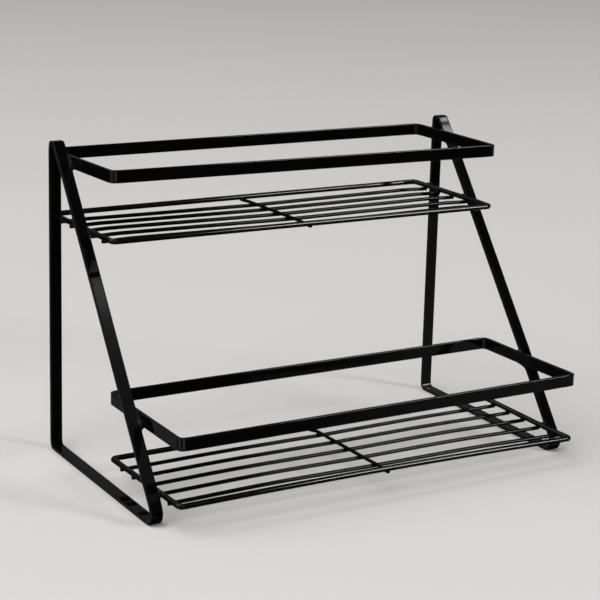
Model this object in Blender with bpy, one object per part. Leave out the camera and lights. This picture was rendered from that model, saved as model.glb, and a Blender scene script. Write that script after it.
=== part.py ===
"""Two-tier countertop shelf, welded from flat bar and round wire.

Metres, +Z up. The origin is at the middle of the footprint, on the table.
+X runs along the shelves to the right, -Y is the front.

Two side frames, each a flat bar bent into a closed loop, stand on their
runners. Between them sit two equal trays: the upper one at the back, the
lower one at the front. A tray is a rim wire with five deck wires and a cross
wire under it, and a flat guard rail above it.
"""

import math

import bpy

# ---------------------------------------------------------------- dimensions
MM = 0.001

WIDTH = 397.2 * MM            # outer face of one side frame to that of the other
HEIGHT = 270.0 * MM           # table to the crest of the side frames
BAR_WIDTH = 10.0 * MM         # flat bar of the frames and the guard rails
BAR_THICKNESS = 2.7 * MM
WELD_GAP = 0.3 * MM           # clearance left between pieces that are welded

TRAY_DEPTH = 130.5 * MM       # outer size of rim and guard rail, front to back
TRAY_REACH = 127.95 * MM      # upper tray: back edge behind the origin; lower tray: front edge before it

UPRIGHT_BACK_Y = 103.65 * MM  # rear face of the uprights
LEG_FOOT_Y = -111.12 * MM     # where the leg's front face would meet the table
LEG_RUN = 204.07 * MM         # how far that face leans back over the full height
BEND_BACK = 6.0 * MM          # outer radii of the frame's three bends
BEND_TOP = 7.15 * MM
BEND_FOOT = 9.5 * MM

RIM_WIRE = 4.3 * MM           # diameters
DECK_WIRE = 3.0 * MM
RIM_CORNER = 6.0 * MM         # outer corner radii
RAIL_CORNER = 5.5 * MM

UPPER_RIM_Z = 202.6 * MM      # centre of the rim wire
LOWER_RIM_Z = 23.0 * MM
RAIL_ABOVE_RIM = 46.3 * MM    # rim wire's centre to the guard rail's lower edge

DECK_FIRST = 21.3 * MM        # tray's back edge to the first deck wire
DECK_PITCH = 22.0 * MM
DECK_COUNT = 5
DECK_END_INSET = 1.2 * MM     # deck and cross wires stop this far inside the rim's outer edge
DECK_DROP = 2.77 * MM         # deck wires below the rim's centre, along their spans
DECK_DIP = {"upper": 1.8 * MM, "lower": 1.1 * MM}    # and further down where the cross wire passes
CROSS_X = {"upper": -2.8 * MM, "lower": 0.0}

ARC_STEP = math.radians(9)


# ------------------------------------------------------------------- outlines
def rounded_loop(corners, radii, inset=0.0):
    """Points round a convex outline with rounded corners, moved inwards by inset.

    corners run anticlockwise, and radii are those of the outline itself, so
    the inset one has smaller radii about the same centres."""
    count = len(corners)
    points = []
    for i in range(count):
        here = corners[i]
        before = corners[i - 1]
        after = corners[(i + 1) % count]
        a = unit(before, here)
        b = unit(here, after)
        left = (-a[1], a[0])
        turn = math.atan2(a[0] * b[1] - a[1] * b[0], a[0] * b[0] + a[1] * b[1])
        reach = radii[i] * math.tan(turn / 2)
        centre = (
            here[0] - a[0] * reach + left[0] * radii[i],
            here[1] - a[1] * reach + left[1] * radii[i],
        )
        start = math.atan2(-left[1], -left[0])
        radius = radii[i] - inset
        steps = max(2, math.ceil(turn / ARC_STEP))
        for k in range(steps + 1):
            angle = start + turn * k / steps
            points.append(
                (centre[0] + radius * math.cos(angle), centre[1] + radius * math.sin(angle))
            )
    return points


def unit(p, q):
    length = math.hypot(q[0] - p[0], q[1] - p[1])
    return ((q[0] - p[0]) / length, (q[1] - p[1]) / length)


def oblong(x0, y0, x1, y1):
    return [(x0, y0), (x1, y0), (x1, y1), (x0, y1)]


# --------------------------------------------------------------------- pieces
def add_spline(curve, points, cyclic):
    spline = curve.splines.new("POLY")
    spline.points.add(len(points) - 1)
    for slot, point in zip(spline.points, points):
        slot.co = (*point, 1.0) if len(point) == 3 else (*point, 0.0, 1.0)
    spline.use_cyclic_u = cyclic


def flat_loop(name, outline, radii, thickness, width, location, rotation, collection):
    """A flat bar bent into a closed loop: the outline and the same one a bar's
    thickness further in, filled between and extruded to the bar's width."""
    curve = bpy.data.curves.new(name, "CURVE")
    curve.dimensions = "2D"
    curve.fill_mode = "BOTH"
    curve.extrude = width / 2
    add_spline(curve, rounded_loop(outline, radii), True)
    add_spline(curve, rounded_loop(outline, radii, thickness), True)
    piece = bpy.data.objects.new(name, curve)
    piece.location = location
    piece.rotation_euler = rotation
    collection.objects.link(piece)
    return piece


def wire(name, points, diameter, cyclic, collection):
    curve = bpy.data.curves.new(name, "CURVE")
    curve.dimensions = "3D"
    curve.bevel_depth = diameter / 2
    curve.bevel_resolution = 4
    curve.use_fill_caps = not cyclic
    add_spline(curve, points, cyclic)
    piece = bpy.data.objects.new(name, curve)
    collection.objects.link(piece)
    return piece


def coat(name, colour, roughness):
    material = bpy.data.materials.new(name)
    material.use_nodes = True
    shader = material.node_tree.nodes["Principled BSDF"]
    shader.inputs["Base Color"].default_value = (*colour, 1.0)
    shader.inputs["Roughness"].default_value = roughness
    shader.inputs["Metallic"].default_value = 0.0
    return material


def ease(t):
    t = min(1.0, max(0.0, t))
    return t * t * (3 - 2 * t)


# ------------------------------------------------------------------- assembly
def side_frame(name, x, collection):
    """Outline in the frame's own plane: local x is world Y, local y is world Z."""
    slope = LEG_RUN / HEIGHT
    apex = (UPRIGHT_BACK_Y - LEG_FOOT_Y) / slope
    outline = [(LEG_FOOT_Y, 0.0), (UPRIGHT_BACK_Y, 0.0), (UPRIGHT_BACK_Y, apex)]
    radii = [BEND_FOOT, BEND_BACK, BEND_TOP]
    return flat_loop(
        name, outline, radii, BAR_THICKNESS, BAR_WIDTH,
        (x, 0.0, 0.0), (math.pi / 2, 0.0, math.pi / 2), collection,
    )


def tray(tier, back_y, rim_z, collection):
    """Rim, guard rail, deck wires and cross wire of one shelf."""
    half = WIDTH / 2 - BAR_WIDTH - WELD_GAP
    front_y = back_y - TRAY_DEPTH
    rim_r = RIM_WIRE / 2
    deck_r = DECK_WIRE / 2

    rail_z = rim_z + RAIL_ABOVE_RIM + BAR_WIDTH / 2
    flat_loop(
        tier + "_guard_rail", oblong(-half, front_y, half, back_y), [RAIL_CORNER] * 4,
        BAR_THICKNESS, BAR_WIDTH, (0.0, 0.0, rail_z), (0.0, 0.0, 0.0), collection,
    )

    centre_line = rounded_loop(
        oblong(-half, front_y, half, back_y), [RIM_CORNER] * 4, rim_r
    )
    wire(
        tier + "_shelf_rim", [(x, y, rim_z) for x, y in centre_line],
        RIM_WIRE, True, collection,
    )

    # A deck wire's ends lie under the rim's side wires. From there it rises to
    # its span, and it dips to pass under the cross wire.
    under_rim = rim_r + deck_r + WELD_GAP
    end = half - DECK_END_INSET
    cross_x = CROSS_X[tier]
    seat = 6 * MM
    climb = 26 * MM
    dip = DECK_DIP[tier]

    def deck_z(x):
        lift = ease((end - abs(x) - seat) / climb)
        near = max(0.0, 1.0 - max(0.0, abs(x - cross_x) - 2 * MM) / (150 * MM))
        return rim_z - under_rim + (under_rim - DECK_DROP) * lift - dip * near

    stops = [0.0, 3.0, 6.0, 11.0, 16.0, 21.0, 26.0, 32.0, 60.0, 110.0, 160.0]
    left = [-end + s * MM for s in stops]
    middle = [cross_x - 2 * MM, cross_x, cross_x + 2 * MM]
    xs = left + middle + [-x for x in reversed(left)]
    for i in range(DECK_COUNT):
        y = back_y - DECK_FIRST - DECK_PITCH * i
        wire(
            f"{tier}_deck_wire_{i + 1}", [(x, y, deck_z(x)) for x in xs],
            DECK_WIRE, False, collection,
        )

    # The cross wire goes under the rim at front and back and over the deck wires.
    over_deck = deck_z(cross_x) + DECK_WIRE + WELD_GAP
    first = back_y - DECK_FIRST
    last = first - DECK_PITCH * (DECK_COUNT - 1)
    rise = DECK_FIRST - DECK_END_INSET - 5 * MM - 2 * MM

    def cross_z(y):
        away = max(y - first, last - y, 0.0) - 2 * MM
        return over_deck + (rim_z - under_rim - over_deck) * ease(away / rise)

    tip = DECK_END_INSET
    steps = 8
    back = [back_y - tip - 5 * MM * k for k in (0, 1)]
    back += [back[-1] + (first + 2 * MM - back[-1]) * k / steps for k in range(1, steps + 1)]
    mirror = [front_y + back_y - y for y in reversed(back)]
    ys = back + [first - DECK_PITCH * k for k in range(DECK_COUNT)] + mirror
    wire(
        tier + "_cross_wire", [(cross_x, y, cross_z(y)) for y in ys],
        DECK_WIRE, False, collection,
    )


def main():
    for old in list(bpy.data.objects):
        bpy.data.objects.remove(old)
    parts = bpy.data.collections.new("countertop_shelf")
    bpy.context.scene.collection.children.link(parts)

    frame_x = (WIDTH - BAR_WIDTH) / 2
    side_frame("left_side_frame", -frame_x, parts)
    side_frame("right_side_frame", frame_x, parts)
    tray("upper", TRAY_REACH, UPPER_RIM_Z, parts)
    tray("lower", TRAY_DEPTH - TRAY_REACH, LOWER_RIM_Z, parts)

    for piece in parts.objects:
        finish = coat(piece.name + "_coat", (0.018, 0.018, 0.019), 0.38)
        piece.data.materials.append(finish)


main()
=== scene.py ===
"""Looks of the two-tier countertop shelf: black powder coat over bent flat bar,
round wire and welds, on a pale floor under soft studio light.

Lengths below are in millimetres, in the row frame: +Z up, the origin at the
middle of the footprint on the table, +X along the shelves, -Y the front.
"""

import math

import bpy
import numpy as np
from mathutils import Matrix, Vector


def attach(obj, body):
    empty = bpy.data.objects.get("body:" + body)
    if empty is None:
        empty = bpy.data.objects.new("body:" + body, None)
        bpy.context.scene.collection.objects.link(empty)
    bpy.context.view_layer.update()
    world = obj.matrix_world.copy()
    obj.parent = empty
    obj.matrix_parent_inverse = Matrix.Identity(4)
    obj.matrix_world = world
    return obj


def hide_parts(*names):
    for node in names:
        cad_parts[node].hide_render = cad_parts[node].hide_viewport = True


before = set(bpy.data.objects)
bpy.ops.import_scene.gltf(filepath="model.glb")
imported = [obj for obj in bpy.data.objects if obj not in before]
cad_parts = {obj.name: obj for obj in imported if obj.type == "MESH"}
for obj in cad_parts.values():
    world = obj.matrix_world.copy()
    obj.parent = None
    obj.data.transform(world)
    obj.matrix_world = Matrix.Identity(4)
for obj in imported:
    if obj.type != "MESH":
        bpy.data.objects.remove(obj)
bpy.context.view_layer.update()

MM = 0.001

# ------------------------------ sizes, as in the part, with the coat's film on them
FILM = 0.17
SLOPE = 204.07 / 270.0                      # the leg leans back by this much
WIDTH = 397.2 + 2 * FILM
HEIGHT = 270.0 + FILM
BAR_WIDTH = 10.0 + 2 * FILM
BAR_THICKNESS = 2.7 + 2 * FILM
TRAY_DEPTH = 130.5 + 2 * FILM
TRAY_REACH = 127.95 + FILM
UPRIGHT_BACK_Y = 103.65 + FILM
LEG_FOOT_Y = -111.12 - FILM * math.hypot(SLOPE, 1.0)
BEND_BACK, BEND_FOOT = 6.0, 9.5
RIM_WIRE = 4.3 + 2 * FILM
DECK_WIRE = 3.0 + 2 * FILM
CROSS_WIRE = 2.6 + 2 * FILM
RIM_CORNER = 6.0
RAIL_CORNER = 5.5
RIM_Z = {"upper": 202.6, "lower": 23.0}
BACK_Y = {"upper": TRAY_REACH, "lower": TRAY_DEPTH - TRAY_REACH}
RAIL_ABOVE_RIM = 51.3                       # rim wire's centre to that of the guard rail
DECK_FIRST = 21.3 + FILM
DECK_PITCH = 22.0
DECK_COUNT = 5
DECK_END_INSET = 1.2
CROSS_X = {"upper": -2.8, "lower": 0.0}

# ------------------------------------------------------------- finer features
TRAY_HALF = WIDTH / 2 - BAR_WIDTH - 0.03    # the trays touch the frames' inner edges
BAR_EDGE = 0.55                             # rounding of the bar's long edges under the coat
CREST_Z = 250.0                             # from here up the leg leans back a little more,
CREST_LEAN = math.radians(2.0)              # by this much, left by the bending of the crest
UNDER_RIM = 3.4                             # centre of a deck wire's end below that of the rim
SPAN_DROP = 2.77                            # deck wires below the rim's centre, along their spans
OVER_DECK = 2.6                             # centre of the cross wire above those of the deck wires
CROSS_UNDER_RIM = {"upper": 2.3, "lower": 3.0}     # its ends' centres below that of the rim
CROSS_LEAN = {"upper": 0.0, "lower": 0.5}          # how much lower it runs at its last deck wire

LEG_DIR = np.array([0.0, SLOPE, 1.0]) / math.hypot(SLOPE, 1.0)
LEG_FACE = np.array([0.0, -LEG_DIR[2], LEG_DIR[1]])     # the leg's front face looks this way
CREST_Y = LEG_FOOT_Y + SLOPE * CREST_Z
CREST_ANGLE = math.atan(SLOPE) + CREST_LEAN
CREST_DIR = np.array([0.0, math.sin(CREST_ANGLE), math.cos(CREST_ANGLE)])
CREST_FACE = np.array([0.0, -CREST_DIR[2], CREST_DIR[1]])


def wobble(seed, t, size):
    """A slow, repeatable unevenness along a hand-made piece; t counts in hundreds of millimetres."""
    a = math.sin(1.7 * t + 2.399 * seed) * 0.6
    b = math.sin(3.1 * t + 5.123 * seed + 1.3) * 0.4
    return size * (a + b)


def ease(t):
    t = min(1.0, max(0.0, t))
    return t * t * (3 - 2 * t)


def soft_ramp(d, width):
    """|d| with its point rounded off over about width."""
    return math.sqrt(d * d + width * width) - width


# ------------------------------------------------------- as it came off the bench
# How far the welded rack is off its drawing. The frames' tops lean along X and Y,
# and each tray's pieces sit a little high or low at their corners (rear left, rear
# right, front left, front right).
LEAN = {-1: 1.4, 1: 0.25}
RACK = {-1: -1.25, 1: 0.7}
CORNERS_OFF = {
    ("rim", "lower"): (-1.4, 0.0, 1.1, -1.4),
    ("rail", "lower"): (0.0, 0.0, -0.3, 0.5),
    ("rim", "upper"): (-0.6, 0.0, 1.3, -0.5),
    ("rail", "upper"): (-0.2, -0.4, 2.2, -1.1),
}
FRONT_BOW = {("rim", "lower"): 2.05}         # the front side's middle above a straight line
# in plan, how far the front right corner is out to the right and to the back,
# and the y in front of which the tray's right side starts to turn that way
CORNER_IN_PLAN = (
    # middle height, half height, right, back, from
    (23.0, 5.5, 2.1, -0.9, -101.5),
    (74.3, 6.5, 1.3, 0.0, -64.0),
    (202.6, 5.5, -2.0, 1.6, 33.0),
    (253.9, 6.5, -1.5, 2.0, 72.0),
)


def as_welded(points):
    """Move nominal points to where they are on the welded rack. The runners stay flat
    on the table, and the crests keep their height."""
    points = np.array(points, float)
    x, y, z = points.T
    u = np.clip((x + TRAY_HALF) / (2 * TRAY_HALF), 0, 1)
    levels = [(4.0, None), (16.5, ("rim", "lower")), (28.0, ("rim", "lower")), (66.0, ("rail", "lower")),
              (82.0, ("rail", "lower")), (195.0, ("rim", "upper")), (207.0, ("rim", "upper")),
              (246.0, ("rail", "upper")), (261.0, ("rail", "upper")), (270.0, None)]
    heights = [level for level, _ in levels]
    lifts = []
    for _, key in levels:
        if key is None:
            lifts.append(np.zeros_like(x))
            continue
        v = np.clip((BACK_Y[key[1]] - y) / TRAY_DEPTH, 0, 1)
        rear_left, rear_right, front_left, front_right = CORNERS_OFF[key]
        lifts.append(
            (1 - v) * ((1 - u) * rear_left + u * rear_right)
            + v * ((1 - u) * front_left + u * front_right)
            + v * 4 * u * (1 - u) * FRONT_BOW.get(key, 0.0)
        )
    lift = np.zeros_like(x)
    for k in range(len(levels) - 1):
        low, high = heights[k], heights[k + 1]
        here = (z >= low) & (z < high)
        t = (z[here] - low) / (high - low)
        lift[here] = lifts[k][here] * (1 - t) + lifts[k + 1][here] * t
    for middle, half, to_right, to_back, start in CORNER_IN_PLAN:
        front = (BACK_Y["lower"] if middle < 150 else BACK_Y["upper"]) - TRAY_DEPTH
        near = np.clip(1 - (np.abs(z - middle) - half) / 4, 0, 1)
        turned = np.clip((start - y) / (start - front), 0, 1) * near
        points[:, 0] += to_right * turned * u
        points[:, 1] += to_back * turned * u
    points[:, 0] += (LEAN[-1] * (1 - u) + LEAN[1] * u) * z / HEIGHT
    points[:, 2] += lift
    return points


# ------------------------------------------------------------------- outlines
def loop_stations(corners, radii, inset, arc_step, straight_step):
    """Stations round a closed outline moved inwards by inset.

    Each is (point, direction, bend): bend is 1 in a corner and fades out within
    a few millimetres of it. corners run anticlockwise."""
    count = len(corners)
    arcs = []
    for i in range(count):
        here = np.array(corners[i], float)
        a = here - np.array(corners[i - 1], float)
        b = np.array(corners[(i + 1) % count], float) - here
        a /= np.linalg.norm(a)
        b /= np.linalg.norm(b)
        turn = math.atan2(a[0] * b[1] - a[1] * b[0], a @ b)
        reach = radii[i] * math.tan(turn / 2)
        left = np.array([-a[1], a[0]])
        centre = here - a * reach + left * radii[i]
        arcs.append((centre, math.atan2(-left[1], -left[0]), turn, radii[i] - inset, a, b))
    tight = [1.0 if radius < 20 else 0.0 for radius in radii]
    stations = []
    for i in range(count):
        centre, start, turn, radius, a, b = arcs[i]
        steps = max(4, math.ceil(turn / math.radians(arc_step)))
        for k in range(steps + 1):
            angle = start + turn * k / steps
            point = centre + radius * np.array([math.cos(angle), math.sin(angle)])
            stations.append((point, np.array([-math.sin(angle), math.cos(angle)]), tight[i]))
        nxt = arcs[(i + 1) % count]
        begin = stations[-1][0]
        end = nxt[0] + nxt[3] * np.array([math.cos(nxt[1]), math.sin(nxt[1])])
        run = np.linalg.norm(end - begin)
        near = [s for s in (0.5, 1.2, 2.2, 3.5, 5.5, 8.5) if s < run / 2.5]
        if near:
            middle = max(1, round((run - 2 * near[-1]) / straight_step))
            along = near + [near[-1] + (run - 2 * near[-1]) * k / middle for k in range(1, middle)]
            along += [run - s for s in reversed(near)]
        else:
            along = [run / 2]
        for s in along:
            bend = max(
                tight[i] * (1.0 - ease(s / 3.5)), tight[(i + 1) % count] * (1.0 - ease((run - s) / 3.5)),
            )
            stations.append((begin + b * s, b, bend))
    return stations


def bar_section():
    """Outline of the flat bar's cross-section: (across the width, out of the bend's
    plane outwards, how much of a rounded edge it is), anticlockwise."""
    w, t, r = BAR_WIDTH / 2, BAR_THICKNESS / 2, BAR_EDGE
    flat = w - r - 0.4
    thin = t - r - 0.25
    sides = {
        0: [(x, t, 0.0) for x in (flat, 2.5, 0.0, -2.5, -flat)],
        1: [(-w, v, 0.35) for v in (thin, -thin)],
        2: [(x, -t, 0.0) for x in (-flat, -2.5, 0.0, 2.5, flat)],
        3: [(w, v, 0.35) for v in (-thin, thin)],
    }
    points = []
    for quarter, (sw, st) in enumerate(((1, 1), (-1, 1), (-1, -1), (1, -1))):
        for k in range(5):
            angle = math.radians(90 * quarter + 22.5 * k)
            points.append((
                sw * (w - r) + r * math.cos(angle),
                st * (t - r) + r * math.sin(angle),
                [0.5, 0.9, 1.0, 0.9, 0.4][k],
            ))
        points += sides[quarter]
    return points


# --------------------------------------------------------------------- meshes
def make_mesh(name, verts, faces, marks, normals=None):
    """A smooth-shaded mesh object in metres. marks are its vertex attributes."""
    mesh = bpy.data.meshes.new(name)
    mesh.from_pydata((as_welded(verts) * MM).tolist(), [], faces)
    for key, values in marks.items():
        layer = mesh.attributes.new(key, "FLOAT", "POINT")
        layer.data.foreach_set("value", np.asarray(values, np.float32))
    mesh.shade_smooth()
    if normals is not None:
        mesh.normals_split_custom_set_from_vertices(np.asarray(normals).tolist())
    mesh.update()
    piece = bpy.data.objects.new(name, mesh)
    bpy.context.scene.collection.objects.link(piece)
    return piece


def ring_faces(rings, size, closed):
    faces = []
    for i in range(rings if closed else rings - 1):
        j = (i + 1) % rings
        for k in range(size):
            m = (k + 1) % size
            faces.append((i * size + k, i * size + m, j * size + m, j * size + k))
    return faces


def bent_bar(name, corners, radii, place, out):
    """A flat bar bent into a closed loop. place turns (outline point, across the
    width) into a point, and out says which way is across: +1 or -1 keeps the faces outwards."""
    section = bar_section()
    stations = loop_stations(corners, radii, BAR_THICKNESS / 2, 6, 11)
    verts, edge = [], []
    travelled = 0.0
    last = stations[0][0]
    for point, ahead, bend in stations:
        travelled += float(np.linalg.norm(point - last))
        last = point
        outward = np.array([ahead[1], -ahead[0]])
        for across, v, mark in section:
            inner = max(0.0, -v / (BAR_THICKNESS / 2))
            outer = max(0.0, v / (BAR_THICKNESS / 2))
            share = across / (BAR_WIDTH / 2)
            # in a bend the bar's inner side swells and its outer side draws in and dishes
            wide = across + share * bend * (0.22 * inner - 0.16 * outer)
            deep = v - bend * 0.10 * outer * (1 - share * share)
            verts.append(place(point + outward * deep, wide * out))
            edge.append(mark)
    faces = ring_faces(len(stations), len(section), True)
    if out < 0:
        faces = [f[::-1] for f in faces]
    return make_mesh(name, verts, faces, {"edge": edge})


def round_wire(name, points, diameter, closed, sides=24, cut=(0.0, 0.0)):
    """A round wire along points. An open one has cut ends with slightly rounded
    edges, each cut a little off square."""
    pts = np.asarray(points, float)
    count = len(pts)
    ahead = np.zeros_like(pts)
    for i in range(count):
        if closed:
            ahead[i] = pts[(i + 1) % count] - pts[i - 1]
        else:
            ahead[i] = pts[min(i + 1, count - 1)] - pts[max(i - 1, 0)]
    ahead /= np.linalg.norm(ahead, axis=1)[:, None]
    side = np.cross(ahead, [0.0, 0.0, 1.0])
    side /= np.linalg.norm(side, axis=1)[:, None]
    up = np.cross(side, ahead)
    radius = diameter / 2
    angles = np.arange(sides) * 2 * math.pi / sides
    rings, edge = [], []

    def ring(i, scale, shift, slant, mark):
        across = radius * scale * (
            np.cos(angles)[:, None] * side[i] + np.sin(angles)[:, None] * up[i]
        )
        tilt = slant * radius * scale * np.cos(angles + 0.7)
        rings.append(pts[i] + across + (shift + tilt)[:, None] * ahead[i])
        edge.extend([mark] * sides)

    rim = [(0.30, 0.0, 1.0), (0.72, 0.0, 1.0), (0.86, 0.05, 1.0), (0.95, 0.16, 1.0), (1.0, 0.36, 0.6)]
    zero = np.zeros(sides)
    if not closed:
        for scale, shift, mark in rim:
            ring(0, scale, zero + shift, cut[0], mark)
        start, stop = 1, count - 1
    else:
        start, stop = 0, count
    for i in range(start, stop):
        ring(i, 1.0, zero, 0.0, 0.0)
    if not closed:
        for scale, shift, mark in reversed(rim):
            ring(count - 1, scale, zero - shift, cut[1], mark)
    verts = list(np.concatenate(rings))
    faces = ring_faces(len(rings), sides, closed)
    if not closed:
        first, final = len(verts), len(verts) + 1
        verts += [rings[0].mean(axis=0), rings[-1].mean(axis=0)]
        edge += [1.0, 1.0]
        base = (len(rings) - 1) * sides
        for k in range(sides):
            m = (k + 1) % sides
            faces.append((first, m, k))
            faces.append((final, base + k, base + m))
    faces = [tuple(reversed(f)) for f in faces]     # outwards
    return make_mesh(name, verts, faces, {"edge": edge})


# ---------------------------------------------------------------------- welds
def capsule(p, a, b, r):
    a, b = np.asarray(a, float), np.asarray(b, float)
    ab = b - a
    t = np.clip(((p - a) @ ab) / (ab @ ab), 0, 1)
    return np.linalg.norm(p - a - t[:, None] * ab, axis=1) - r


def block(p, centre, axes, half, r):
    q = np.abs((p - np.asarray(centre, float)) @ np.asarray(axes, float).T) - (np.asarray(half, float) - r)
    return np.linalg.norm(np.maximum(q, 0), axis=1) + np.minimum(q.max(axis=1), 0) - r


def bead(p, centre, axes, radii):
    q = (p - np.asarray(centre, float)) @ np.asarray(axes, float).T / np.asarray(radii, float)
    length = np.linalg.norm(q, axis=1)
    slope = np.linalg.norm(q / np.asarray(radii, float), axis=1)
    return length * (length - 1) / np.maximum(slope, 1e-6)


def melt(a, b, k):
    """Union of two shapes with a hollow fillet of about k between them, and how deep in the fillet a point is."""
    h = np.maximum(1 - np.abs(a - b) / k, 0)
    return np.minimum(a, b) - h * h * k / 4, h


def seam(p, centre, radii):
    """A run of weld along Y, laid down in small scales."""
    scales = 0.13 * np.sin((p[:, 1] - centre[1]) * 2 * math.pi / 2.4)
    return bead(p, centre, np.eye(3), radii) - scales


def ripple(p, seed):
    """Small unevenness of a bead's surface."""
    x, y, z = (p + seed * 17.3).T
    return (
        np.sin(2.1 * x + 1.3 * y + 0.4 * seed)
        + np.sin(1.7 * y - 2.3 * z + 1.1 * seed)
        + np.sin(2.9 * z + 1.9 * x - 0.7 * seed)
        + 0.6 * np.sin(4.3 * x - 3.9 * y + 3.7 * z)
    ) / 3.6


def weld_mesh(shape, centre, reach, step):
    """Closed surface where shape is zero inside a ball: vertices, quads and normals."""
    centre = np.asarray(centre, float)
    count = int(math.ceil(reach / step)) + 2
    axis = (np.arange(2 * count + 1) - count) * step
    grid = np.stack(np.meshgrid(axis, axis, axis, indexing="ij"), -1)
    size = grid.shape[0]

    def field(p):
        return np.maximum(shape(p + centre), np.linalg.norm(p, axis=1) - reach)

    value = field(grid.reshape(-1, 3)).reshape(size, size, size)
    value[value == 0] = 1e-9
    n = size - 1
    inside = value < 0
    total = np.zeros((n, n, n), int)
    for i in (0, 1):
        for j in (0, 1):
            for k in (0, 1):
                total += inside[i:n + i, j:n + j, k:n + k]
    cell = (total > 0) & (total < 8)
    number = np.full((n, n, n), -1)
    number[cell] = np.arange(cell.sum())
    point = np.zeros((n, n, n, 3))
    crossings = np.zeros((n, n, n))
    for along in range(3):
        others = [d for d in range(3) if d != along]
        for i in (0, 1):
            for j in (0, 1):
                low = [0, 0, 0]
                low[others[0]], low[others[1]] = i, j
                high = list(low)
                high[along] = 1
                v0 = value[low[0]:n + low[0], low[1]:n + low[1], low[2]:n + low[2]]
                v1 = value[high[0]:n + high[0], high[1]:n + high[1], high[2]:n + high[2]]
                cut = (v0 < 0) != (v1 < 0)
                t = np.where(cut, v0 / np.where(cut, v0 - v1, 1.0), 0.0)
                point[..., along] += np.where(cut, t, 0)
                point[..., others[0]] += np.where(cut, i, 0)
                point[..., others[1]] += np.where(cut, j, 0)
                crossings += cut
    index = np.argwhere(cell)
    verts = (index + point[cell] / crossings[cell][:, None] - count) * step
    quads = []
    for along in range(3):
        o = [d for d in range(3) if d != along]
        lowest = [slice(None)] * 3
        highest = [slice(None)] * 3
        lowest[along], highest[along] = slice(0, n), slice(1, n + 1)
        change = inside[tuple(lowest)] != inside[tuple(highest)]
        for e in np.argwhere(change):
            if e[o[0]] < 1 or e[o[1]] < 1 or e[o[0]] >= n or e[o[1]] >= n:
                continue
            around = []
            for di, dj in ((-1, -1), (0, -1), (0, 0), (-1, 0)):
                c = e.copy()
                c[o[0]] += di
                c[o[1]] += dj
                around.append(int(number[tuple(c)]))
            if inside[tuple(e)] == (along == 1):
                around.reverse()
            quads.append(tuple(around))
    slope_step = step * 0.15
    for _ in range(3):
        f = field(verts)
        slope = np.stack([
            field(verts + d) - field(verts - d) for d in np.eye(3) * slope_step
        ], 1) / (2 * slope_step)
        square = np.maximum((slope ** 2).sum(1), 0.25)
        move = -(f / square)[:, None] * slope
        long = np.linalg.norm(move, axis=1)
        move *= np.minimum(1, 0.4 * step / np.maximum(long, 1e-9))[:, None]
        verts = verts + move
    slope = np.stack([
        field(verts + d) - field(verts - d) for d in np.eye(3) * slope_step
    ], 1)
    slope /= np.maximum(np.linalg.norm(slope, axis=1), 1e-9)[:, None]
    return verts + centre, quads, slope


SINK = 0.035    # welds lie this far under the surfaces that they leave
RAIL_WELD = {   # how far each weld reaches, how hollow it is, and how much more so under the rail
    ("upright", "upper"): (8.4, 2.2, 0.0), ("leg", "upper"): (9.2, 2.0, 1.0), ("leg", "lower"): (11.5, 2.2, 4.6),
}
RIM_WELD = {("upright", "upper"): (6.2, 2.0), ("leg", "upper"): (8.6, 2.2), ("leg", "lower"): (9.8, 2.2)}
SEAM = {"upper": 5.2, "lower": 6.6}     # half the length of the seam along the rim at a leg


def joint(a, b, k, beads=(), bumps=0.0, seed=0):
    """The shape of two pieces melted together: a and b give their distances."""
    def shape(p):
        d, deep = melt(a(p), b(p), k(p) if callable(k) else k)
        for lump, into in beads:
            d, more = melt(d, lump(p), into)
            deep = np.maximum(deep, more)
        return d + SINK - bumps * deep * ripple(p, seed)
    return shape


def is_clean(quads):
    """Whether no two faces run the same way along one edge, or share a diagonal."""
    q = np.asarray(quads)
    size = int(q.max()) + 1
    ways = [q[:, i] * size + q[:, (i + 1) % 4] for i in range(4)]
    ways += [size * size + np.minimum(q[:, i], q[:, i + 2]) * size + np.maximum(q[:, i], q[:, i + 2]) for i in (0, 1)]
    return np.unique(np.concatenate(ways), return_counts=True)[1].max() == 1


def weld_piece(name, spots):
    verts, faces, normals = [], [], []
    for shape, centre, reach, step in spots:
        for finer in range(8):
            v, q, n = weld_mesh(shape, centre, reach, step * 0.97 ** finer)
            if is_clean(q):
                break
        base = sum(len(x) for x in verts)
        verts.append(v)
        normals.append(n)
        faces += [tuple(base + i for i in f) for f in q]
    verts = np.concatenate(verts)
    normals = np.concatenate(normals)
    return make_mesh(name, verts, faces, {"edge": np.zeros(len(verts))}, normals)


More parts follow.
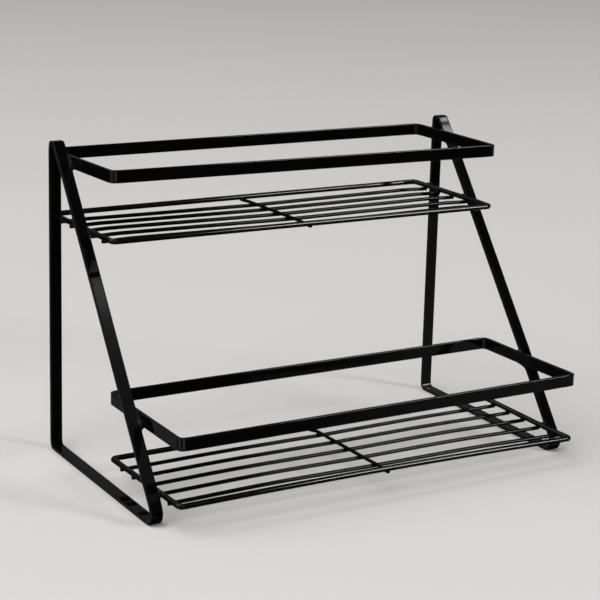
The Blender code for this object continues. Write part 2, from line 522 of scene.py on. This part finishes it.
# ------------------------------------------------------------------ materials
def coat(name, peel, rough, spread, seed, gloss=0.36):
    """Black semi-gloss powder coat: a fine orange peel, soft clouds of gloss, and
    a thinner, slightly lighter film along the bar's edges."""
    material = bpy.data.materials.new(name)
    material.use_nodes = True
    tree = material.node_tree
    nodes, links = tree.nodes, tree.links
    shader = nodes["Principled BSDF"]
    shader.inputs["Metallic"].default_value = 0.0
    shader.inputs["IOR"].default_value = 1.45
    shader.inputs["Specular IOR Level"].default_value = gloss

    place = nodes.new("ShaderNodeTexCoord")
    shift = nodes.new("ShaderNodeMapping")
    shift.inputs["Location"].default_value = (0.37 * seed, 0.21 * seed, 0.13 * seed)
    links.new(place.outputs["Object"], shift.inputs["Vector"])

    def noise(scale, detail, roughness):
        node = nodes.new("ShaderNodeTexNoise")
        node.inputs["Scale"].default_value = scale
        node.inputs["Detail"].default_value = detail
        node.inputs["Roughness"].default_value = roughness
        links.new(shift.outputs["Vector"], node.inputs["Vector"])
        return node.outputs["Fac"]

    def ranged(value, low, high, to_low, to_high):
        node = nodes.new("ShaderNodeMapRange")
        node.inputs["From Min"].default_value = low
        node.inputs["From Max"].default_value = high
        node.inputs["To Min"].default_value = to_low
        node.inputs["To Max"].default_value = to_high
        links.new(value, node.inputs["Value"])
        return node.outputs["Result"]

    def maths(kind, a, b):
        node = nodes.new("ShaderNodeMath")
        node.operation = kind
        for socket, value in zip(node.inputs, (a, b)):
            if isinstance(value, (int, float)):
                socket.default_value = value
            else:
                links.new(value, socket)
        return node.outputs["Value"]

    def mixed(factor, a, b):
        node = nodes.new("ShaderNodeMix")
        node.data_type = "RGBA"
        links.new(factor, node.inputs["Factor"])
        for key, value in (("A", a), ("B", b)):
            socket = [s for s in node.inputs if s.name == key and s.type == "RGBA"][0]
            if isinstance(value, tuple):
                socket.default_value = (*value, 1.0)
            else:
                links.new(value, socket)
        return [s for s in node.outputs if s.type == "RGBA"][0]

    clouds = noise(38, 3.0, 0.55)
    grain = noise(950, 2.0, 0.5)
    fine = noise(3600, 2.0, 0.6)
    edge = nodes.new("ShaderNodeAttribute")
    edge.attribute_name = "edge"
    worn = maths("MULTIPLY", edge.outputs["Fac"], ranged(noise(260, 4.0, 0.65), 0.35, 0.72, 0.15, 1.0))

    tone = mixed(ranged(clouds, 0.3, 0.7, 0.0, 1.0), (0.0012, 0.0012, 0.0013), (0.0022, 0.0021, 0.0023))
    tone = mixed(maths("MULTIPLY", worn, 0.55), tone, (0.014, 0.0137, 0.0134))
    links.new(tone, shader.inputs["Base Color"])

    gloss = maths("ADD", ranged(clouds, 0.3, 0.7, rough - spread, rough + spread), ranged(grain, 0.3, 0.7, -0.015, 0.015))
    gloss = maths("SUBTRACT", gloss, maths("MULTIPLY", worn, 0.03))
    links.new(gloss, shader.inputs["Roughness"])

    skin = nodes.new("ShaderNodeBump")
    skin.inputs["Strength"].default_value = 1.0
    skin.inputs["Distance"].default_value = 0.000012 * peel
    links.new(grain, skin.inputs["Height"])
    dust = nodes.new("ShaderNodeBump")
    dust.inputs["Strength"].default_value = 1.0
    dust.inputs["Distance"].default_value = 0.000003 * peel
    links.new(fine, dust.inputs["Height"])
    links.new(skin.outputs["Normal"], dust.inputs["Normal"])
    links.new(dust.outputs["Normal"], shader.inputs["Normal"])
    return material


# ------------------------------------------------------------- camera and set
GLOWS = (
    # towards, from within this many degrees, full within these, radiance
    ((-0.55, 0.35, 0.76), 45.6, 0.0, 1.30),
    ((0.49, 0.83, 0.27), 45.6, 11.5, 0.09),
    ((0.0, 0.0, 1.0), 101.5, 53.1, 0.02),
    # on the left leg's face, from its middle downwards
    ((0.3853, -0.4883, 0.7834), 0.65, 0.30, 2.60),
    ((0.3862, -0.4943, 0.7791), 1.20, 0.70, 0.50),
    ((0.3877, -0.5050, 0.7714), 1.95, 1.40, 0.28),
    ((0.3919, -0.5340, 0.7506), 3.80, 3.00, 0.18),
    # on the guard rails: front sides to the right, left sides; on the right upright
    ((0.70, -0.55, -0.48), 22.0, 18.5, 0.16),
    ((0.562, -0.793, -0.235), 3.6, 2.2, 0.14),
    ((-0.45, 0.77, -0.46), 16.0, 10.0, 0.135),
    # for the front, right, left and back, and for what faces up
    ((-0.17, -0.96, -0.20), 27.0, 10.0, 0.80),
    ((0.97, 0.02, -0.20), 30.0, 10.0, 0.55),
    ((-0.96, -0.15, -0.20), 33.0, 12.0, 0.60),
    ((0.0, 0.99, -0.12), 22.0, 8.0, 0.90),
    ((-0.10, -0.43, 0.90), 22.0, 8.0, 0.70),
    ((-0.10, 0.20, 0.97), 22.0, 8.0, 0.70),
)
LAMPS = (
    # name, towards, distance, size across X and down, power, whether it shows in the gloss
    ("key", (0.55, -0.72, 0.42), 9.0, (1.9, 1.9), 320.0, True),
    ("top", (0.5523, -0.2871, 0.7826), 9.0, (1.1, 0.98), 33.0, True),
    ("overhead", (-0.72, -0.12, 0.68), 6.0, (7.0, 7.0), 360.0, False),
)


def set_camera():
    """The photograph's viewpoint, worked out from the object's vanishing lines."""
    yaw, pitch, roll = math.radians(30.406), math.radians(14.751), math.radians(1.456)
    ahead = Vector((math.sin(yaw) * math.cos(pitch), math.cos(yaw) * math.cos(pitch), -math.sin(pitch)))
    right = Vector((math.cos(yaw), -math.sin(yaw), 0.0))
    up = right.cross(ahead)
    tilted_right = right * math.cos(roll) + up * math.sin(roll)
    tilted_up = up * math.cos(roll) - right * math.sin(roll)
    turn = Matrix((tilted_right, tilted_up, -ahead)).transposed().to_4x4()
    data = bpy.data.cameras.new("camera")
    data.sensor_fit = "HORIZONTAL"
    data.sensor_width = 36.0
    data.lens = 1708.583 / 600 * 36.0
    data.clip_start, data.clip_end = 0.01, 60.0
    camera = bpy.data.objects.new("camera", data)
    camera.matrix_world = Matrix.Translation(Vector((-724.03, -1213.97, 507.61)) * MM) @ turn
    bpy.context.scene.collection.objects.link(camera)
    bpy.context.scene.camera = camera


def set_floor():
    mesh = bpy.data.meshes.new("floor")
    s = 9.0
    mesh.from_pydata([(-s, -s, 0), (s, -s, 0), (s, s, 0), (-s, s, 0)], [], [(0, 1, 2, 3)])
    floor = bpy.data.objects.new("floor", mesh)
    bpy.context.scene.collection.objects.link(floor)
    material = bpy.data.materials.new("pale_floor")
    material.use_nodes = True
    nodes, links = material.node_tree.nodes, material.node_tree.links
    shader = nodes["Principled BSDF"]
    shader.inputs["Roughness"].default_value = 0.85
    shader.inputs["Specular IOR Level"].default_value = 0.1
    place = nodes.new("ShaderNodeTexCoord")
    clouds = nodes.new("ShaderNodeTexNoise")
    clouds.inputs["Scale"].default_value = 1.3
    clouds.inputs["Detail"].default_value = 2.0
    links.new(place.outputs["Object"], clouds.inputs["Vector"])
    ramp = nodes.new("ShaderNodeValToRGB")
    ramp.color_ramp.elements[0].color = (0.625, 0.615, 0.60, 1.0)
    ramp.color_ramp.elements[1].color = (0.655, 0.645, 0.63, 1.0)
    links.new(clouds.outputs["Fac"], ramp.inputs["Fac"])
    links.new(ramp.outputs["Color"], shader.inputs["Base Color"])
    # from below it lets the rack be seen
    face = nodes.new("ShaderNodeNewGeometry")
    clear = nodes.new("ShaderNodeBsdfTransparent")
    mix = nodes.new("ShaderNodeMixShader")
    links.new(face.outputs["Backfacing"], mix.inputs["Fac"])
    links.new(shader.outputs["BSDF"], mix.inputs[1])
    links.new(clear.outputs["BSDF"], mix.inputs[2])
    links.new(mix.outputs["Shader"], nodes["Material Output"].inputs["Surface"])
    mesh.materials.append(material)
    floor.visible_glossy = False    # the black coat mirrors dark surroundings below, not the pale floor


def set_backdrop():
    """A pale shell all round, which only the camera sees, so that no view has a dark sky."""
    mesh = bpy.data.meshes.new("backdrop")
    rows, columns, radius = 24, 48, 14.0
    verts = []
    for i in range(rows + 1):
        rise = math.pi * (i / rows - 0.5)
        for k in range(columns):
            turn = 2 * math.pi * k / columns
            verts.append((
                radius * math.cos(rise) * math.cos(turn), radius * math.cos(rise) * math.sin(turn),
                radius * math.sin(rise),
            ))
    faces = []
    for i in range(rows):
        for k in range(columns):
            m = (k + 1) % columns
            faces.append((i * columns + k, (i + 1) * columns + k, (i + 1) * columns + m, i * columns + m))
    mesh.from_pydata(verts, [], faces)
    mesh.shade_smooth()
    shell = bpy.data.objects.new("backdrop", mesh)
    bpy.context.scene.collection.objects.link(shell)
    material = bpy.data.materials.new("pale_backdrop")
    material.use_nodes = True
    nodes, links = material.node_tree.nodes, material.node_tree.links
    nodes.remove(nodes["Principled BSDF"])
    glow = nodes.new("ShaderNodeEmission")
    place = nodes.new("ShaderNodeTexCoord")
    apart = nodes.new("ShaderNodeSeparateXYZ")
    links.new(place.outputs["Object"], apart.inputs["Vector"])
    span = nodes.new("ShaderNodeMapRange")
    span.inputs["From Min"].default_value = 0.0
    span.inputs["From Max"].default_value = 8.0
    links.new(apart.outputs["Z"], span.inputs["Value"])
    ramp = nodes.new("ShaderNodeValToRGB")
    ramp.color_ramp.elements[0].color = (0.56, 0.555, 0.545, 1.0)
    ramp.color_ramp.elements[1].color = (0.66, 0.655, 0.65, 1.0)
    links.new(span.outputs["Result"], ramp.inputs["Fac"])
    links.new(ramp.outputs["Color"], glow.inputs["Color"])
    links.new(glow.outputs["Emission"], nodes["Material Output"].inputs["Surface"])
    material.cycles.emission_sampling = "NONE"
    mesh.materials.append(material)
    shell.visible_diffuse = False
    shell.visible_glossy = False
    shell.visible_transmission = False
    shell.visible_volume_scatter = False
    shell.visible_shadow = False


def softbox(name, towards, distance, size, power, mirrored, aim=(0.0, 0.0, 120.0)):
    """A rectangular light that looks at aim; the first size runs along X as far as it can."""
    data = bpy.data.lights.new(name, "AREA")
    data.shape = "RECTANGLE"
    data.size, data.size_y = size
    data.energy = power
    lamp = bpy.data.objects.new(name, data)
    lamp.visible_glossy = mirrored
    way = Vector(towards).normalized()
    across = (Vector((1.0, 0.0, 0.0)) - way * way.x).normalized()
    turn = Matrix((across, way.cross(across), way)).transposed().to_4x4()
    lamp.matrix_world = Matrix.Translation(Vector(aim) * MM + way * distance) @ turn
    bpy.context.scene.collection.objects.link(lamp)
    return lamp


def set_lights():
    """Broad soft light from above on the left, faint glows elsewhere, and two
    softboxes on the right for the highlights."""
    world = bpy.data.worlds.new("studio")
    bpy.context.scene.world = world
    world.use_nodes = True
    nodes, links = world.node_tree.nodes, world.node_tree.links
    place = nodes.new("ShaderNodeTexCoord")

    def glow(towards, start, full, strength):
        """Radiance that rises smoothly as the direction nears towards."""
        dot = nodes.new("ShaderNodeVectorMath")
        dot.operation = "DOT_PRODUCT"
        dot.inputs[1].default_value = Vector(towards).normalized()
        links.new(place.outputs["Generated"], dot.inputs[0])
        span = nodes.new("ShaderNodeMapRange")
        span.interpolation_type = "SMOOTHSTEP"
        span.inputs["From Min"].default_value = math.cos(math.radians(start))
        span.inputs["From Max"].default_value = math.cos(math.radians(full))
        span.inputs["To Max"].default_value = strength
        links.new(dot.outputs["Value"], span.inputs["Value"])
        return span.outputs["Result"]

    total = None
    for lobe in GLOWS:
        value = glow(*lobe)
        if total is None:
            total = value
        else:
            add = nodes.new("ShaderNodeMath")
            links.new(total, add.inputs[0])
            links.new(value, add.inputs[1])
            total = add.outputs["Value"]
    links.new(total, nodes["Background"].inputs["Color"])
    nodes["Background"].inputs["Strength"].default_value = 1.0

    for lamp in LAMPS:
        softbox(*lamp)
    bpy.context.scene.view_settings.view_transform = "Standard"


# ------------------------------------------------------------------- assembly
def wire_heights(tier):
    """How high the deck wires run along x, and the cross wire along y."""
    rim_z, cross_x = RIM_Z[tier], CROSS_X[tier]
    end = TRAY_HALF - DECK_END_INSET
    climb, dip, reach = (24.0, 1.43, 155.0) if tier == "upper" else (82.0, 0.73, 80.0)

    def deck(x):
        lift = ease((end - abs(x) - 3.0) / climb)
        near = max(0.0, 1.0 - soft_ramp(x - cross_x, 4.0) / reach)
        return rim_z - UNDER_RIM + (UNDER_RIM - SPAN_DROP) * lift - dip * near

    over = deck(cross_x) + OVER_DECK
    back = BACK_Y[tier]
    first = back - DECK_FIRST
    last = first - DECK_PITCH * (DECK_COUNT - 1)

    def cross(y):
        away = max(y - first, last - y, 0.0) - 2.5
        room = DECK_FIRST - RIM_WIRE / 2 - 2.5 - 2.0
        run = over - CROSS_LEAN[tier] * ease((first - y) / (first - last))
        return run + (rim_z - CROSS_UNDER_RIM[tier] - run) * ease(away / room)

    return deck, cross


def build():
    bars = coat("bar_coat", 0.6, 0.075, 0.012, 1)
    rims = coat("rim_coat", 0.55, 0.10, 0.015, 2, 0.45)
    decks = coat("deck_coat", 0.55, 0.10, 0.015, 4, 0.15)
    crosses = coat("cross_coat", 0.55, 0.10, 0.015, 5, 0.05)
    joints = coat("weld_coat", 1.0, 0.12, 0.025, 3, 0.28)
    seams = coat("seam_coat", 1.0, 0.16, 0.025, 6, 0.70)

    def finish(piece, material, *stands_for):
        piece.data.materials.append(material)
        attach(piece, "root")
        if stands_for:
            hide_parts(*stands_for)

    # side frames
    crest_front = CREST_Y + (HEIGHT - CREST_Z) * math.tan(CREST_ANGLE)
    outline = [
        (LEG_FOOT_Y, 0.0), (UPRIGHT_BACK_Y, 0.0), (UPRIGHT_BACK_Y, HEIGHT), (crest_front, HEIGHT),
        (CREST_Y, CREST_Z),
    ]
    for hand, side in (("left", -1), ("right", 1)):
        x = side * (WIDTH - BAR_WIDTH) / 2
        piece = bent_bar(
            f"{hand}_frame_bar", outline, [BEND_FOOT, BEND_BACK, 4.6, 4.2, 90.0],
            lambda p, w, x=x, rack=RACK[side]: (x + w, p[0] + rack * p[1] / HEIGHT, p[1]), 1,
        )
        finish(piece, bars, f"{hand}_side_frame")

    half = TRAY_HALF
    frame_spots = {-1: [], 1: []}
    for t, tier in enumerate(("upper", "lower")):
        back, rim_z = BACK_Y[tier], RIM_Z[tier]
        front = back - TRAY_DEPTH
        ring = [(-half, front), (half, front), (half, back), (-half, back)]
        deck, cross = wire_heights(tier)
        cross_x = CROSS_X[tier]
        spots = []
        crossings = []

        # guard rail
        rail_z = rim_z + RAIL_ABOVE_RIM
        piece = bent_bar(
            f"{tier}_rail_bar", ring, [RAIL_CORNER] * 4,
            lambda p, w, z=rail_z: (p[0], p[1], z + w), 1,
        )
        finish(piece, bars, f"{tier}_guard_rail")

        # rim
        path = [p for p, _, _ in loop_stations(ring, [RIM_CORNER] * 4, RIM_WIRE / 2, 7.5, 12)]
        piece = round_wire(f"{tier}_rim_wire", [(p[0], p[1], rim_z) for p in path], RIM_WIRE, True, 28)
        finish(piece, rims, f"{tier}_shelf_rim")

        # deck wires
        end = half - DECK_END_INSET
        for i in range(DECK_COUNT):
            y = back - DECK_FIRST - DECK_PITCH * i
            seed = 1 + i + 5 * t
            stops = [0.0, 1.2, 2.5, 4.0, 6.0, 8.0, 11.0, 15.0, 20.0, 26.0, 34.0]
            xs = [-end + s for s in stops]
            steps = 14
            xs += [xs[-1] + (cross_x - 10 - xs[-1]) * k / steps for k in range(1, steps + 1)]
            xs += [cross_x + d for d in (-6, -3, 0, 3, 6, 10)]
            to = end - 34.0
            xs += [cross_x + 10 + (to - cross_x - 10) * k / steps for k in range(1, steps + 1)]
            xs += [end - s for s in reversed(stops[:-1])]

            def run(x, y=y, seed=seed):
                free = min(1.0, (end - abs(x)) / 40, abs(x - cross_x) / 40)
                return (
                    x, y + wobble(seed, x / 100, 0.16) * free,
                    deck(x) + wobble(seed + 20, x / 100, 0.12) * free,
                )

            piece = round_wire(
                f"{tier}_long_wire_{i + 1}", [run(x) for x in xs], DECK_WIRE, False, 20,
                (0.10 * math.sin(seed), 0.10 * math.cos(seed * 1.7)),
            )
            finish(piece, decks, f"{tier}_deck_wire_{i + 1}")

            for side in (-1, 1):
                rim_x = side * (half - RIM_WIRE / 2)
                z0, z1 = deck(side * end), deck(side * (end - 9))
                spots.append((
                    joint(
                        lambda p, rim_x=rim_x, y=y: capsule(p, (rim_x, y - 12, rim_z), (rim_x, y + 12, rim_z), RIM_WIRE / 2),
                        lambda p, side=side, y=y, z0=z0, z1=z1: capsule(
                            p, (side * (end - 1.9), y, z0), (side * (end - 9), y, z1), DECK_WIRE / 2),
                        1.9, bumps=0.07, seed=seed + 3 * side,
                    ),
                    (rim_x, y, rim_z - 1.9), 4.6, 0.42,
                ))
            crossings.append((
                joint(
                    lambda p, y=y: capsule(p, (cross_x, y - 8, cross(y - 8)), (cross_x, y + 8, cross(y + 8)), CROSS_WIRE / 2),
                    lambda p, y=y: capsule(p, (cross_x - 8, y, deck(cross_x - 8)), (cross_x + 8, y, deck(cross_x + 8)), DECK_WIRE / 2),
                    1.0, bumps=0.04, seed=seed,
                ),
                (cross_x, y, deck(cross_x) + 1.3), 4.0, 0.38,
            ))

        # cross wire
        first = back - DECK_FIRST
        last = first - DECK_PITCH * (DECK_COUNT - 1)
        top = [back - DECK_END_INSET - s for s in (0.0, 1.2, 2.5, 4.0, 6.0, 8.5, 11.0, 13.5, 16.0)]
        ys = top + [first + 2.0, first, first - 2.0]
        for i in range(1, DECK_COUNT):
            y = first - DECK_PITCH * i
            ys += [y + 14.0, y + 8.0, y + 2.0, y, y - 2.0]
        ys += [front + back - y for y in reversed(top)]
        piece = round_wire(
            f"{tier}_short_wire", [(cross_x + wobble(31 + t, y / 60, 0.12), y, cross(y)) for y in ys],
            CROSS_WIRE, False, 20, (0.06, -0.08),
        )
        finish(piece, crosses, f"{tier}_cross_wire")
        for y, inwards in ((front + RIM_WIRE / 2, 1), (back - RIM_WIRE / 2, -1)):
            tip = y - inwards * (RIM_WIRE / 2 - DECK_END_INSET)
            spots.append((
                joint(
                    lambda p, y=y: capsule(p, (cross_x - 12, y, rim_z), (cross_x + 12, y, rim_z), RIM_WIRE / 2),
                    lambda p, y=y, tip=tip, inwards=inwards: capsule(
                        p, (cross_x, tip + inwards * 1.9, cross(tip)), (cross_x, tip + inwards * 9, cross(tip + inwards * 9)), CROSS_WIRE / 2),
                    1.5, bumps=0.05, seed=40 + t + inwards,
                ),
                (cross_x, y, rim_z - 1.9), 4.6, 0.42,
            ))
        finish(weld_piece(f"{tier}_shelf_welds", spots), joints)
        finish(weld_piece(f"{tier}_cross_welds", crossings), crosses)

        # where the trays meet the side frames
        for side in (-1, 1):
            bars_here = [("leg", LEG_DIR, LEG_FACE)]
            if tier == "upper":
                bars_here.append(("upright", np.array([0.0, 0.0, 1.0]), np.array([0.0, 1.0, 0.0])))
            for kind, along, face in bars_here:
                for what, z in (("rail", rail_z), ("rim", rim_z)):
                    face_y = LEG_FOOT_Y + SLOPE * z if kind == "leg" else UPRIGHT_BACK_Y
                    face_y += RACK[side] * z / HEIGHT
                    centre = np.array([side * (WIDTH - BAR_WIDTH) / 2, face_y, z]) - face * BAR_THICKNESS / 2
                    axes = np.stack([[1.0, 0.0, 0.0], face, along])
                    seed = 50 + 7 * t + 3 * side + (kind == "leg") + 2 * (what == "rim")

                    def upright(p, centre=centre, axes=axes):
                        return block(p, centre, axes, (BAR_WIDTH / 2, BAR_THICKNESS / 2, 40.0), BAR_EDGE)

                    if kind == "leg" and z > 240:
                        x = centre[0]
                        turning = np.array([x, CREST_Y + RACK[side] * CREST_Z / HEIGHT, CREST_Z])
                        low_centre = turning - LEG_FACE * BAR_THICKNESS / 2 - LEG_DIR * 19.5
                        high_centre = turning - CREST_FACE * BAR_THICKNESS / 2 + CREST_DIR * 19.5
                        high_axes = np.stack([[1.0, 0.0, 0.0], CREST_FACE, CREST_DIR])

                        def upright(p, low=low_centre, high=high_centre, axes=axes, high_axes=high_axes):
                            size = (BAR_WIDTH / 2, BAR_THICKNESS / 2, 20.0)
                            return np.minimum(block(p, low, axes, size, BAR_EDGE), block(p, high, high_axes, size, BAR_EDGE))

                    if what == "rail":
                        def tray_part(p, side=side, y=centre[1], z=z):
                            return block(
                                p, (side * (half - BAR_THICKNESS / 2), y, z), np.eye(3),
                                (BAR_THICKNESS / 2, 40.0, BAR_WIDTH / 2), BAR_EDGE)
                        reach, slim, more = RAIL_WELD[kind, tier]

                        def k(p, side=side, y=centre[1], z=z, slim=slim, more=more):
                            # the fuller side is in front of the left leg and behind the right one
                            under = np.clip((z - p[:, 2] + 1) / 4, 0, 1)
                            beside = np.clip((side * (p[:, 1] - y - SLOPE * (p[:, 2] - z)) + 2) / 4, 0, 1)
                            over = np.clip((p[:, 2] - z - 2) / 3, 0, 1) * (side > 0) * (z > 240)
                            return slim - 0.8 * over + more * under * under * (3 - 2 * under) * beside * beside * (3 - 2 * beside)
                    else:
                        def tray_part(p, side=side, y=centre[1], z=z):
                            x = side * (half - RIM_WIRE / 2)
                            return capsule(p, (x, y - 30, z), (x, y + 30, z), RIM_WIRE / 2)
                        reach, k = RIM_WELD[kind, tier]
                    lumps = []
                    for front in (-1, 1):
                        # a small run of weld on each side of the bar: along the rail's height, or over the wire
                        size = 0.55 + 0.12 * math.sin(seed * 2.3 + front)
                        spot = centre + front * face * (BAR_THICKNESS / 2 + 0.2)
                        spot = spot + along * 1.2 * math.sin(seed + front)
                        spot[0] = side * (half + 0.1)
                        radii = (size, size, 2.4)
                        if what == "rim":
                            spot = centre + front * face * (BAR_THICKNESS / 2 + 0.3)
                            spot[0], spot[2] = side * (half - 0.7), z + RIM_WIRE / 2 - 0.5
                            radii = (0.8, 1.5 + 0.3 * math.sin(seed + front), 0.7)
                            if kind == "leg":
                                continue
                        lumps.append((
                            lambda p, spot=spot, radii=radii, axes=axes: bead(p, spot, axes, radii), 1.8,
                        ))
                    if what == "rim" and kind == "leg":
                        # a seam in the groove between the wire's top and the leg
                        spot = np.array([side * (half - 0.85), centre[1] - 0.8, z + RIM_WIRE / 2 - 0.35])
                        lumps.append((
                            lambda p, spot=spot, run=SEAM[tier]: seam(p, spot, (0.95, run, 0.7)), 1.0,
                        ))
                    if what == "rail" and tier == "lower":
                        # the weld was carried over the leg's front edge
                        spot = centre + face * (BAR_THICKNESS / 2 - 0.3) - along * 0.5
                        spot[0] = side * (half + 2.0)
                        lumps.append((lambda p, spot=spot, axes=axes: bead(p, spot, axes, (2.4, 0.6, 4.0)), 0.8))
                    frame_spots[side].append((
                        joint(upright, tray_part, k, lumps, bumps=0.2, seed=seed),
                        (side * half, centre[1], z), reach, 0.5,
                    ))
    for hand, side in (("left", -1), ("right", 1)):
        finish(weld_piece(f"{hand}_frame_welds", frame_spots[side]), joints if side < 0 else seams)


build()
set_floor()
set_backdrop()
set_lights()
set_camera()
